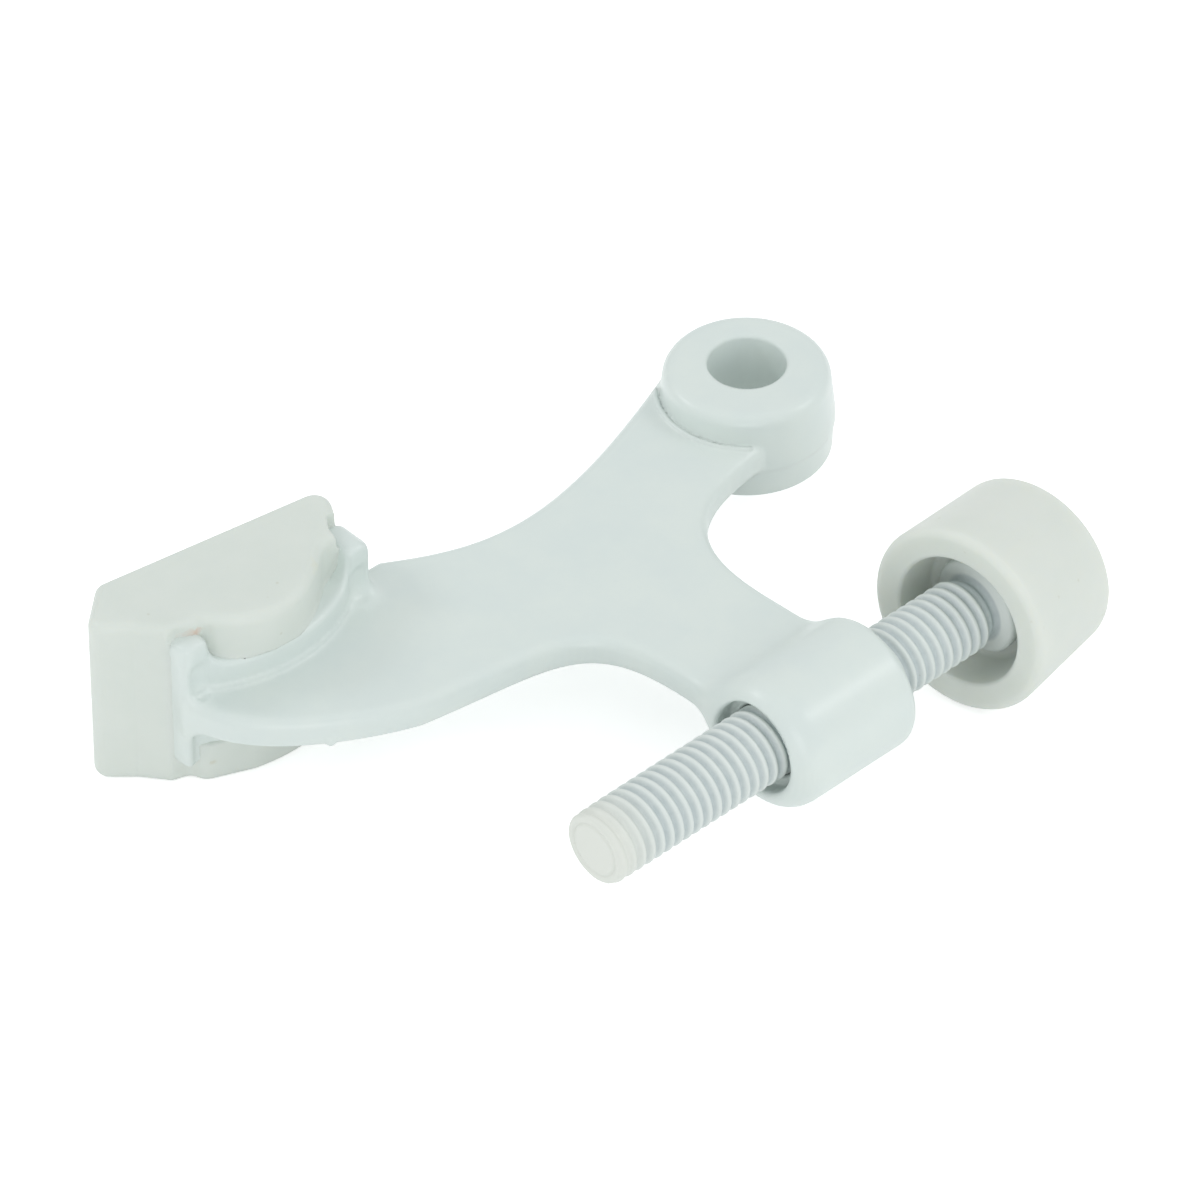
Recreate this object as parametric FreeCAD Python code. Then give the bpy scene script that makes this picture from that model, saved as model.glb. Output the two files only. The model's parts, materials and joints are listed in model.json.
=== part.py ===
"""Hinge pin door stop: a cast bracket whose eye drops over a hinge pin, a screw rod with a soft cap, a soft pad.

The origin lies on the pin axis, half way up the eye. Z is the pin axis. X runs along the screw rod, from its
tip towards its cap. All sizes are in millimetres.
"""
import FreeCAD
import Part
import math
import os

V = FreeCAD.Vector
UP = V(0, 0, 1)
ALONG = V(1, 0, 0)

# Eye of the bracket, round the hinge pin
PIN_BORE_R = 4.05
EYE_R = 9.1
EYE_WAIST_Z = -0.5
EYE_TOP_R = 8.35
EYE_BOTTOM_R = 9.0
EYE_HEIGHT = 10.0
EYE_TOP_EDGE_R = 0.85
EYE_BOTTOM_EDGE_R = 0.4
EYE_LIP_R = 0.8
EYE_OFFSET_X = -0.45
EYE_OFFSET_Y = -0.47

# Flat web that joins the eye, the collar and the flange
WEB_THICKNESS = 3.6
WEB_EDGE_R = 1.2
WEB_EYE_FILLET_R = 0.6
WEB_BACK_ANGLE_DEG = 112.0
WEB_FRONT_ANGLE_DEG = 238.0
WEB_BACK_PULL = (-24.0, -9.7)
WEB_FRONT_PULL = (-19.1, -0.8)
WEB_EAR_REACH = 4.8
WEB_EAR_PULL = (10.4, -6.5)
ARM_END_OUTSET = 0.9
ARM_END_PULL = (0.6, -9.1)
ELBOW_REACH = 21.1
ELBOW_HEIGHT = 25.5
ELBOW_FALL_DEG = 10.7
ELBOW_ARM_PULL = 1.5
ELBOW_LEG_PULL = 16.85
LEG_INSET_TIP = 1.2
LEG_INSET_CAP = -0.15
LEG_LEFT_HEIGHT = 7.6
LEG_RIGHT_HEIGHT = 8.7
LEG_LEFT_PULL = 17.1
LEG_RIGHT_PULL = 6.8
LEG_BITE = 3.0
EYE_BITE = 1.0

# Screw rod, and where its axis passes the pin
ROD_OFFSET = 38.6
ROD_R = 3.95
ROD_TIP_X = -57.6
ROD_TIP_FACE_R = 3.5
ROD_TIP_RUN = 1.1
ROD_NECK_R = 3.2
ROD_NECK_LENGTH = 0.7
ROD_DISC_R = 5.0
ROD_DISC_THICKNESS = 1.3
ROD_STUD_R = 2.5
ROD_BUTTON_R = 3.9
ROD_BUTTON_THICKNESS = 2.6
ROD_BUTTON_EDGE_R = 1.0

# Collar that the rod screws through
COLLAR_R = 7.2
COLLAR_DROP = 0.5
COLLAR_LENGTH = 16.1
COLLAR_TIP_END_X = -36.3
COLLAR_TIP_END_R = 3.0
COLLAR_CAP_END_R = 1.05
COLLAR_RECESS_R = 4.95
COLLAR_RECESS_DEPTH = 1.8
COLLAR_LIP_R = 0.5
COLLAR_FILLET_R = 3.0
ROD_CLEARANCE = 0.05

# Soft cap on the rod's head
CAP_MOUTH_X = -10.6
CAP_LENGTH = 15.6
CAP_MOUTH_R = 10.3
CAP_END_R = 9.45
CAP_MOUTH_EDGE_R = 2.4
CAP_END_EDGE_R = 1.2
CAP_RECESS_MOUTH_R = 6.6
CAP_RECESS_FLOOR_R = 5.7
CAP_LIP_R = 0.7
CAP_DISC_DEPTH = 3.8
CAP_INNER_WALL = 1.6
CAP_PLAY = 0.8
CAP_SKEW_DEG = 7.5
CAP_DROOP_DEG = 1.7

# Flange of the bracket, behind the pad: a half moon with an ear at each end
FLANGE_X = -61.4
FLANGE_Y = 4.2
FLANGE_SPAN = 22.6
FLANGE_BULGE = 4.3
FLANGE_BACK = 1.8
FLANGE_HEIGHT = 10.4
EAR_OUTSET = 1.3
EAR_INSET = 2.0
EAR_FRONT = 1.6
EAR_OUTER_R = 1.3
EAR_INNER_R = 1.0
EAR_HEIGHT = 17.3
EAR_EDGE_R = 0.9

# Soft pad that is moulded over the flange
PAD_HEIGHT = 20.4
PAD_FACE_LEFT_DEPTH = 11.0
PAD_FACE_RIGHT_DEPTH = 6.6
PAD_FACE_LEFT_X = -12.9
PAD_FACE_RIGHT_X = 13.7
PAD_SHOULDER_X = -18.1
PAD_SHOULDER_DEPTH = 6.6
PAD_LEFT_END_X = -10.4
PAD_RIGHT_END_X = 10.9
PAD_EDGE_R = 0.9
PAD_CORNER_R = 1.5
PAD_TOP_LOBE_R = 10.7
PAD_TOP_LOBE_X = -0.65
PAD_TOP_LOBE_INSET = 0.75
PAD_LOW_LOBE_R = 20.0
PAD_LOW_LOBE_HALF = 9.9
PAD_LOW_SHOULDER_R = 3.0

# Distances below which two places count as the same
SAME = 1e-6
TOUCHING = 1e-3


def at(x, y, z=0.0):
    return V(x, y, z)


def line(a, b):
    return Part.LineSegment(a, b).toShape()


def arc(a, middle, b):
    return Part.Arc(a, middle, b).toShape()


def sweep_curve(a, handle_a, handle_b, b):
    """One smooth curve from a to b that leaves and arrives along its two handles."""
    curve = Part.BezierCurve()
    curve.setPoles([a, handle_a, handle_b, b])
    return curve.toShape()


def prism(edges, bottom, top):
    face = Part.Face(Part.Wire(edges))
    face.translate(V(0, 0, bottom))
    return face.extrude(V(0, 0, top - bottom))


def turned(points, centre, axis):
    """Solid turned round an axis from a closed outline of (along, radius) pairs.

    A pair may be followed by a bulge point, written as ("arc", along, radius), that the outline bends through.
    """
    def place(along, radius):
        side = V(0, 1, 0) if axis == ALONG else V(1, 0, 0)
        return centre + axis * along + side * radius

    edges = []
    last = points[0]
    bend = None
    for item in points[1:] + [points[0]]:
        if item[0] == "arc":
            bend = item
            continue
        start = place(*last)
        end = place(*item)
        if bend:
            edges.append(arc(start, place(bend[1], bend[2]), end))
        else:
            edges.append(line(start, end))
        last = item
        bend = None
    return Part.Face(Part.Wire(edges)).revolve(centre, axis, 360)


def corner(along, radius, size, turn_along, turn_radius):
    """Middle of a round of the given size at an outline corner, for a bulge point."""
    inset = size * (1 - math.sqrt(0.5))
    return ("arc", along + turn_along * inset, radius + turn_radius * inset)


def mirrored(p):
    """The same place below the middle plane."""
    return V(p.x, p.y, -p.z)


def eye_centre():
    """Centre of the eye's outside, whose wall is thicker towards the web than away from it."""
    return at(EYE_OFFSET_X, EYE_OFFSET_Y)


def eye_wall_r(z):
    """Radius of the eye's outside at a height; it draws in above and below its waist."""
    half = EYE_HEIGHT / 2
    if z > EYE_WAIST_Z:
        share = (z - EYE_WAIST_Z) / (half - EYE_WAIST_Z)
        return EYE_R + share * (EYE_TOP_R - EYE_R)
    share = (EYE_WAIST_Z - z) / (EYE_WAIST_Z + half)
    return EYE_R + share * (EYE_BOTTOM_R - EYE_R)


def eye_solid():
    half = EYE_HEIGHT / 2
    top = EYE_TOP_EDGE_R
    low = EYE_BOTTOM_EDGE_R
    outline = [
        (-half, 0),
        (-half, EYE_BOTTOM_R - low),
        corner(-half, EYE_BOTTOM_R, low, 1, -1),
        (-half + low, EYE_BOTTOM_R),
        (EYE_WAIST_Z, EYE_R),
        (half - top, eye_wall_r(half - top)),
        corner(half, eye_wall_r(half - top / 2), top, -1, -1),
        (half, EYE_TOP_R - top),
        (half, 0),
    ]
    return turned(outline, eye_centre(), UP)


def pin_bore():
    """Bore for the hinge pin, with a soft lip at each end."""
    half = EYE_HEIGHT / 2
    lip = EYE_LIP_R
    outline = [
        (-half, 0),
        (-half, PIN_BORE_R + lip),
        corner(-half, PIN_BORE_R, lip, 1, 1),
        (-half + lip, PIN_BORE_R),
        (half - lip, PIN_BORE_R),
        corner(half, PIN_BORE_R, lip, -1, 1),
        (half, PIN_BORE_R + lip),
        (half, 0),
    ]
    return turned(outline, at(0, 0), UP)


def on_eye(angle_deg):
    """Point on the eye's outside, at an angle round its centre."""
    angle = math.radians(angle_deg)
    return eye_centre() + V(math.cos(angle), math.sin(angle), 0) * EYE_R


def web_corners():
    """Where the web's plan outline enters the eye, the collar and the flange, and where its arm turns."""
    collar_y = -ROD_OFFSET + COLLAR_R - LEG_BITE
    leg_left = COLLAR_TIP_END_X + LEG_INSET_TIP
    leg_right = COLLAR_TIP_END_X + COLLAR_LENGTH - LEG_INSET_CAP
    return {
        "eye_back": on_eye(WEB_BACK_ANGLE_DEG),
        "eye_front": on_eye(WEB_FRONT_ANGLE_DEG),
        "rim_end": at(FLANGE_X + FLANGE_SPAN / 2 + WEB_EAR_REACH, FLANGE_Y + FLANGE_BACK),
        "flange_right": at(FLANGE_X + FLANGE_SPAN / 2, FLANGE_Y + FLANGE_BACK),
        "flange_left": at(FLANGE_X - FLANGE_SPAN / 2 - ARM_END_OUTSET, FLANGE_Y - EAR_FRONT),
        "elbow": at(leg_left - ELBOW_REACH, -ROD_OFFSET + ELBOW_HEIGHT),
        "leg_left_top": at(leg_left, -ROD_OFFSET + LEG_LEFT_HEIGHT),
        "leg_left_foot": at(leg_left, collar_y),
        "leg_right_foot": at(leg_right, collar_y),
        "leg_right_top": at(leg_right, -ROD_OFFSET + LEG_RIGHT_HEIGHT),
    }


def pulled(start, pull):
    """Handle of a smooth curve: the point that the curve heads for as it leaves its end."""
    return start + V(pull[0], pull[1], 0)


def web_edges():
    c = web_corners()
    fall = math.radians(ELBOW_FALL_DEG)
    past_elbow = V(math.cos(fall), -math.sin(fall), 0)
    return [
        sweep_curve(c["eye_back"], pulled(c["eye_back"], WEB_BACK_PULL),
                    pulled(c["rim_end"], WEB_EAR_PULL), c["rim_end"]),
        line(c["rim_end"], c["flange_right"]),
        line(c["flange_right"], c["flange_left"]),
        sweep_curve(c["flange_left"], pulled(c["flange_left"], ARM_END_PULL),
                    c["elbow"] - past_elbow * ELBOW_ARM_PULL, c["elbow"]),
        sweep_curve(c["elbow"], c["elbow"] + past_elbow * ELBOW_LEG_PULL,
                    pulled(c["leg_left_top"], (0, LEG_LEFT_PULL)), c["leg_left_top"]),
        line(c["leg_left_top"], c["leg_left_foot"]),
        line(c["leg_left_foot"], c["leg_right_foot"]),
        line(c["leg_right_foot"], c["leg_right_top"]),
        sweep_curve(c["leg_right_top"], pulled(c["leg_right_top"], (0, LEG_RIGHT_PULL)),
                    pulled(c["eye_front"], WEB_FRONT_PULL), c["eye_front"]),
        line(c["eye_front"], c["eye_back"]),
    ]


def web_solid():
    """Plate with rounded rims; its straight ends lie inside the eye and the collar, and in and beside the ear."""
    half = WEB_THICKNESS / 2
    web = prism(web_edges(), -half, half)
    c = web_corners()
    ends = [
        ("rim_end", "flange_right"),
        ("flange_right", "flange_left"),
        ("leg_left_foot", "leg_right_foot"),
        ("eye_front", "eye_back"),
    ]
    hidden = [(c[a] + c[b]) * 0.5 for a, b in ends]

    def is_rim(edge):
        middle = edge.CenterOfMass
        if abs(abs(middle.z) - half) > SAME:
            return False
        return all((at(middle.x, middle.y) - h).Length > TOUCHING for h in hidden)

    return web.makeFillet(WEB_EDGE_R, [e for e in web.Edges if is_rim(e)])


def eye_fillet():
    """Soft inside corner between the web's faces and the eye, kept to where the web is."""
    half = WEB_THICKNESS / 2
    size = WEB_EYE_FILLET_R
    inner = EYE_R - EYE_BITE
    wall = eye_wall_r(half)
    outline = [
        (-half - size, inner),
        (-half - size, wall),
        corner(-half, wall, size, -1, 1),
        (-half, wall + size),
        (half, wall + size),
        corner(half, wall, size, 1, 1),
        (half + size, wall),
        (half + size, inner),
    ]
    ring = turned(outline, eye_centre(), UP)
    limit = prism(web_edges(), -EYE_HEIGHT, EYE_HEIGHT)
    return ring.common(limit)


def collar_solid():
    """Barrel round the rod, a little lower than the bore in it."""
    front = COLLAR_TIP_END_X
    back = front + COLLAR_LENGTH
    outline = [
        (front, 0),
        (front, COLLAR_R - COLLAR_TIP_END_R),
        corner(front, COLLAR_R, COLLAR_TIP_END_R, 1, -1),
        (front + COLLAR_TIP_END_R, COLLAR_R),
        (back - COLLAR_CAP_END_R, COLLAR_R),
        corner(back, COLLAR_R, COLLAR_CAP_END_R, -1, -1),
        (back, COLLAR_R - COLLAR_CAP_END_R),
        (back, 0),
    ]
    return turned(outline, at(0, -ROD_OFFSET, -COLLAR_DROP), ALONG)


def collar_bore():
    """Bore for the rod, with a recessed mouth and a soft lip at each end."""
    front = COLLAR_TIP_END_X
    back = front + COLLAR_LENGTH
    bore_r = ROD_R + ROD_CLEARANCE
    lip = COLLAR_LIP_R
    deep = COLLAR_RECESS_DEPTH
    outline = [
        (front, 0),
        (front, COLLAR_RECESS_R + lip),
        corner(front, COLLAR_RECESS_R, lip, 1, 1),
        (front + lip, COLLAR_RECESS_R),
        (front + deep, COLLAR_RECESS_R),
        (front + deep, bore_r),
        (back - deep, bore_r),
        (back - deep, COLLAR_RECESS_R),
        (back - lip, COLLAR_RECESS_R),
        corner(back, COLLAR_RECESS_R, lip, -1, 1),
        (back, COLLAR_RECESS_R + lip),
        (back, 0),
    ]
    return turned(outline, at(0, -ROD_OFFSET), ALONG)


def fillet_arc(rise):
    """Ends and middle of the soft corner between the web's upper face and a barrel whose centre is lower by rise."""
    half = WEB_THICKNESS / 2
    size = COLLAR_FILLET_R
    height = half + size + rise
    reach = math.sqrt((COLLAR_R + size) ** 2 - height ** 2)
    share = COLLAR_R / (COLLAR_R + size)
    touch = at(0, -ROD_OFFSET + reach * share, height * share - rise)
    web_end = at(0, -ROD_OFFSET + reach, half)
    centre = at(0, -ROD_OFFSET + reach, half + size)
    toward = (touch + web_end) * 0.5 - centre
    toward.normalize()
    return touch, centre + toward * size, web_end


def collar_fillet():
    """Swelling of the web into the collar; the collar hangs low, so the upper corner is the shorter one."""
    touch, middle, web_end = fillet_arc(COLLAR_DROP)
    low_touch, low_middle, low_web_end = (mirrored(p) for p in fillet_arc(-COLLAR_DROP))
    edges = [
        arc(touch, middle, web_end),
        line(web_end, low_web_end),
        arc(low_web_end, low_middle, low_touch),
        line(low_touch, touch),
    ]
    section = Part.Face(Part.Wire(edges))
    start = COLLAR_TIP_END_X + COLLAR_TIP_END_R
    length = COLLAR_LENGTH - COLLAR_TIP_END_R - COLLAR_CAP_END_R
    section.translate(V(start, 0, 0))
    return section.extrude(V(length, 0, 0))


def flange_edges():
    """Half moon in plan: a straight back against the pad and a bulge towards the web."""
    left = FLANGE_X - FLANGE_SPAN / 2
    right = FLANGE_X + FLANGE_SPAN / 2
    back = FLANGE_Y + FLANGE_BACK
    bulge = at(FLANGE_X, FLANGE_Y - FLANGE_BULGE)
    return [
        arc(at(left, FLANGE_Y), bulge, at(right, FLANGE_Y)),
        line(at(right, FLANGE_Y), at(right, back)),
        line(at(right, back), at(left, back)),
        line(at(left, back), at(left, FLANGE_Y)),
    ]


def ear_block(side, bottom, top):
    """Plan outline of an ear, drawn up into a block; side is -1 at the left and 1 at the right."""
    end = FLANGE_X + side * FLANGE_SPAN / 2
    outer = end + side * EAR_OUTSET
    inner = end - side * EAR_INSET
    front = FLANGE_Y - EAR_FRONT
    back = FLANGE_Y + FLANGE_BACK
    corners = [at(outer, back), at(outer, front), at(inner, front), at(inner, back)]
    block = prism([line(a, b) for a, b in zip(corners, corners[1:] + corners[:1])], bottom, top)
    for x, size in ((outer, EAR_OUTER_R), (inner, EAR_INNER_R)):
        upright = [e for e in block.Edges if (at(e.CenterOfMass.x, e.CenterOfMass.y) - at(x, front)).Length < SAME]
        block = block.makeFillet(size, upright)
    return block


def ear_solid(side):
    """Upright rounded plate at one end of the flange."""
    half = EAR_HEIGHT / 2
    back = FLANGE_Y + FLANGE_BACK
    ear = ear_block(side, -half, half)
    rims = [
        e for e in ear.Edges
        if abs(abs(e.CenterOfMass.z) - half) < SAME and e.CenterOfMass.y < back - TOUCHING
    ]
    return ear.makeFillet(EAR_EDGE_R, rims)


def flange_solid():
    half = FLANGE_HEIGHT / 2
    flange = prism(flange_edges(), -half, half)
    for side in (-1, 1):
        flange = flange.fuse(ear_solid(side))
    return flange


def bracket():
    body = eye_solid().fuse([web_solid(), collar_solid(), collar_fillet(), flange_solid(), eye_fillet()])
    return body.cut(collar_bore()).cut(pin_bore()).removeSplitter()


def disc_x():
    """Face of the rod's disc that the cap's mouth shows."""
    return CAP_MOUTH_X + CAP_DISC_DEPTH


def inner_wall_length():
    return CAP_INNER_WALL + 2 * CAP_PLAY


def tip_round():
    """Bulge point of the rod's rounded tip edge, which runs out level with the shank."""
    drop = ROD_R - ROD_TIP_FACE_R
    radius = (ROD_TIP_RUN ** 2 + drop ** 2) / (2 * drop)
    half_turn = math.asin(ROD_TIP_RUN / radius) / 2
    return (
        "arc",
        ROD_TIP_X + ROD_TIP_RUN - radius * math.sin(half_turn),
        ROD_R - radius * (1 - math.cos(half_turn)),
    )


def rod():
    face = disc_x()
    disc_end = face + ROD_DISC_THICKNESS
    button = disc_end + inner_wall_length()
    end = button + ROD_BUTTON_THICKNESS
    neck = face - ROD_NECK_LENGTH
    outline = [
        (ROD_TIP_X, 0),
        (ROD_TIP_X, ROD_TIP_FACE_R),
        tip_round(),
        (ROD_TIP_X + ROD_TIP_RUN, ROD_R),
        (neck - (ROD_R - ROD_NECK_R), ROD_R),
        (neck, ROD_NECK_R),
        (face, ROD_NECK_R),
        (face, ROD_DISC_R),
        (disc_end, ROD_DISC_R),
        (disc_end, ROD_STUD_R),
        (button, ROD_STUD_R),
        (button, ROD_BUTTON_R),
        (end - ROD_BUTTON_EDGE_R, ROD_BUTTON_R),
        corner(end, ROD_BUTTON_R, ROD_BUTTON_EDGE_R, -1, -1),
        (end, ROD_BUTTON_R - ROD_BUTTON_EDGE_R),
        (end, 0),
    ]
    return turned(outline, at(0, -ROD_OFFSET), ALONG)


def cap():
    """Tapered cap with a stepped cavity: mouth recess, thin inner wall, and a pocket for the rod's button."""
    floor = CAP_DISC_DEPTH + ROD_DISC_THICKNESS + CAP_PLAY
    pocket = floor + CAP_INNER_WALL
    pocket_end = pocket + 2 * CAP_PLAY + ROD_BUTTON_THICKNESS
    pocket_r = ROD_BUTTON_R + CAP_PLAY
    hole_r = ROD_STUD_R + CAP_PLAY / 2
    slope = (CAP_MOUTH_R - CAP_END_R) / CAP_LENGTH
    outline = [
        (0, CAP_RECESS_MOUTH_R + CAP_LIP_R),
        (0, CAP_MOUTH_R - CAP_MOUTH_EDGE_R),
        corner(0, CAP_MOUTH_R, CAP_MOUTH_EDGE_R, 1, -1),
        (CAP_MOUTH_EDGE_R, CAP_MOUTH_R - slope * CAP_MOUTH_EDGE_R),
        (CAP_LENGTH - CAP_END_EDGE_R, CAP_END_R + slope * CAP_END_EDGE_R),
        corner(CAP_LENGTH, CAP_END_R, CAP_END_EDGE_R, -1, -1),
        (CAP_LENGTH, CAP_END_R - CAP_END_EDGE_R),
        (CAP_LENGTH, 0),
        (pocket_end, 0),
        (pocket_end, pocket_r),
        (pocket, pocket_r),
        (pocket, hole_r),
        (floor, hole_r),
        (floor, CAP_RECESS_FLOOR_R),
        (CAP_LIP_R, CAP_RECESS_MOUTH_R),
        corner(0, CAP_RECESS_MOUTH_R, CAP_LIP_R, 1, 1),
    ]
    solid = turned(outline, at(CAP_MOUTH_X, -ROD_OFFSET), ALONG)
    pivot = at(CAP_MOUTH_X + floor + CAP_INNER_WALL / 2, -ROD_OFFSET)
    solid.rotate(pivot, V(0, 1, 0), CAP_DROOP_DEG)
    solid.rotate(pivot, UP, CAP_SKEW_DEG)
    return solid


def pad_corners():
    """Corners of the pad in plan, counted from the flange."""
    return [
        at(FLANGE_X + PAD_LEFT_END_X, FLANGE_Y),
        at(FLANGE_X + PAD_SHOULDER_X, FLANGE_Y + PAD_SHOULDER_DEPTH),
        at(FLANGE_X + PAD_FACE_LEFT_X, FLANGE_Y + PAD_FACE_LEFT_DEPTH),
        at(FLANGE_X + PAD_FACE_RIGHT_X, FLANGE_Y + PAD_FACE_RIGHT_DEPTH),
        at(FLANGE_X + PAD_RIGHT_END_X, FLANGE_Y + FLANGE_BACK),
        at(FLANGE_X + PAD_RIGHT_END_X, FLANGE_Y),
    ]


def pad_block():
    """Wedge that carries the striking face, rounded everywhere but against the flange."""
    half = PAD_HEIGHT / 2
    corners = pad_corners()
    edges = [line(a, b) for a, b in zip(corners, corners[1:] + corners[:1])]
    block = prism(edges, -half, half)
    uprights = [
        e for e in block.Edges
        if abs(e.CenterOfMass.z) < SAME and e.CenterOfMass.y > FLANGE_Y + FLANGE_BACK + TOUCHING
    ]
    block = block.makeFillet(PAD_CORNER_R, uprights)
    rims = [
        e for e in block.Edges
        if abs(abs(e.CenterOfMass.z) - half) < SAME and e.CenterOfMass.y > FLANGE_Y + TOUCHING
    ]
    return block.makeFillet(PAD_EDGE_R, rims)


def pad_top_lobe():
    """Half moon that laps over the flange's upper side."""
    half = PAD_HEIGHT / 2
    radius = PAD_TOP_LOBE_R
    front = FLANGE_Y - FLANGE_BULGE + PAD_TOP_LOBE_INSET
    lobe = Part.makeCylinder(radius, half, at(FLANGE_X + PAD_TOP_LOBE_X, front + radius))
    lobe = lobe.makeFillet(PAD_EDGE_R, [e for e in lobe.Edges if e.Closed and abs(e.CenterOfMass.z - half) < SAME])
    strip = Part.makeBox(2 * FLANGE_SPAN, FLANGE_Y + FLANGE_BACK - front, half, at(FLANGE_X - FLANGE_SPAN, front))
    return lobe.common(strip)


def pad_low_lobe():
    """Wider half moon under the flange, as deep as the flange's bulge, with rounded shoulders."""
    half = PAD_HEIGHT / 2
    reach = PAD_LOW_LOBE_HALF
    front = FLANGE_Y - FLANGE_BULGE
    back = FLANGE_Y + FLANGE_BACK
    shoulder = front + PAD_LOW_LOBE_R - math.sqrt(PAD_LOW_LOBE_R ** 2 - reach ** 2)
    corners = [
        at(FLANGE_X + reach, shoulder),
        at(FLANGE_X + reach, back),
        at(FLANGE_X - reach, back),
        at(FLANGE_X - reach, shoulder),
    ]
    edges = [line(a, b) for a, b in zip(corners, corners[1:])]
    edges.append(arc(corners[-1], at(FLANGE_X, front), corners[0]))
    top = -FLANGE_HEIGHT / 2
    lobe = prism(edges, -half, top)
    uprights = [
        e for e in lobe.Edges
        if abs(e.CenterOfMass.z - (top - half) / 2) < SAME and e.CenterOfMass.y < back - TOUCHING
    ]
    lobe = lobe.makeFillet(PAD_LOW_SHOULDER_R, uprights)
    rims = [
        e for e in lobe.Edges
        if abs(e.CenterOfMass.z + half) < SAME and e.CenterOfMass.y < back - TOUCHING
    ]
    return lobe.makeFillet(PAD_EDGE_R, rims)


def pad():
    above_ears = [ear_block(side, 0, PAD_HEIGHT) for side in (-1, 1)]
    body = pad_block().fuse([pad_top_lobe(), pad_low_lobe()])
    return body.cut([flange_solid()] + above_ears).removeSplitter()


PARTS = {
    "bracket": bracket,
    "adjusting_rod": rod,
    "bumper_cap": cap,
    "wall_pad": pad,
}


def main():
    os.makedirs("parts", exist_ok=True)
    for name, make in PARTS.items():
        shape = make()
        if shape.ShapeType == "Compound" and len(shape.Solids) == 1:
            shape = shape.Solids[0]
        box = shape.BoundBox
        print(name, shape.ShapeType, len(shape.Solids), shape.isValid(), round(shape.Volume, 1), box)
        shape.exportStep("parts/" + name + ".step")


main()
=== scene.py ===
"""White hinge pin door stop: cast bracket, painted screw, soft cap on the screw and soft pad on the bracket.

Lengths are in millimetres and turned into metres where a mesh is made. The frame is that of the solids: the
hinge pin's axis is Z through the origin, and the screw runs along X.
"""
import json
import math

import bmesh
import bpy
import numpy as np
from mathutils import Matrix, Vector

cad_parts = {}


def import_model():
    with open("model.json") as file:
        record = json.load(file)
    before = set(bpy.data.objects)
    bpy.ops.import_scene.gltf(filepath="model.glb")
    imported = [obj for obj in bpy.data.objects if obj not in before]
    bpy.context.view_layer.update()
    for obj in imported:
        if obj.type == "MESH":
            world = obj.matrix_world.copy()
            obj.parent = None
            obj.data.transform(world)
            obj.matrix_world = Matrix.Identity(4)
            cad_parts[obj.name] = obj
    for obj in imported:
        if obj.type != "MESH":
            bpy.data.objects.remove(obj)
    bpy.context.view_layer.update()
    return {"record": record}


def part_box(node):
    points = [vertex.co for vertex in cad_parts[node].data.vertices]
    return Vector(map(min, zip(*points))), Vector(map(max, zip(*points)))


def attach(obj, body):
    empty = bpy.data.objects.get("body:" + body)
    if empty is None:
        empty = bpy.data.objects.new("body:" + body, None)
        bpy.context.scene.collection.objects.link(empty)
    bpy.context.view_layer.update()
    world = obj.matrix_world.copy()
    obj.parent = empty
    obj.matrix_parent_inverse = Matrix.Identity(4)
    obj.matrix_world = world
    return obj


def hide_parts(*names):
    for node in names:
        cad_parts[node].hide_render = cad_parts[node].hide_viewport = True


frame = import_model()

MM = 0.001


def node_box(node):
    """Lowest and highest corner of a node of the frame, in millimetres."""
    low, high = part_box(node)
    return np.array(low) / MM, np.array(high) / MM


def mount(name):
    return next(m for m in frame["record"]["mounts"] if m["name"] == name)


def joint(name):
    return next(j for j in frame["record"]["behaviour"]["joints"] if j["name"] == name)


BRACKET_LOW, BRACKET_HIGH = node_box("bracket")
ROD_LOW = node_box("adjusting_rod")[0]
CAP_LOW = node_box("bumper_cap")[0]
PAD_LOW, PAD_HIGH = node_box("wall_pad")

# Screw
ROD_OFFSET = -joint("rod_turn")["pos_m"][1] / MM
ROD_TIP_X = ROD_LOW[0]
ROD_R = 3.95
ROD_BORE_R = 4.0
THREAD_PITCH = 1.27
THREAD_DEPTH = 0.42
TIP_FACE_R = 3.45
TIP_RUN = 0.95
TIP_FACE = (
    (0.03, 0.0), (0.03, 1.5), (0.02, 2.5), (0.02, 2.72), (0.14, 2.86), (0.14, 2.94), (0.01, 3.08),
    (0, TIP_FACE_R - 0.1),
)
NECK_R = 3.2
NECK_LENGTH = 0.7
DISC_X = -5.6
DISC_R = 5.15
DISC_THICKNESS = 1.3
DISC_EDGE = 0.3
STUD_R = 2.5
BUTTON_X = -2.3
BUTTON_R = 3.9
BUTTON_THICKNESS = 2.6
BUTTON_EDGE = 1.0

# Eye round the hinge pin
PIN_BORE_R = mount("hinge_pin_bore")["dims"]["r_mm"]
EYE_X = -0.45
EYE_Y = -0.47
EYE_R = 9.1
EYE_WAIST_Z = -0.5
EYE_TOP_R = 8.5
EYE_BOTTOM_R = 9.0
EYE_HEIGHT = 10.0
EYE_TOP_EDGE_R = 1.4
EYE_BOTTOM_EDGE_R = 0.5
EYE_LIP_SOFT = 0.35
PARTING_Z = -1.6
PARTING_STEP = 0.14

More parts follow.
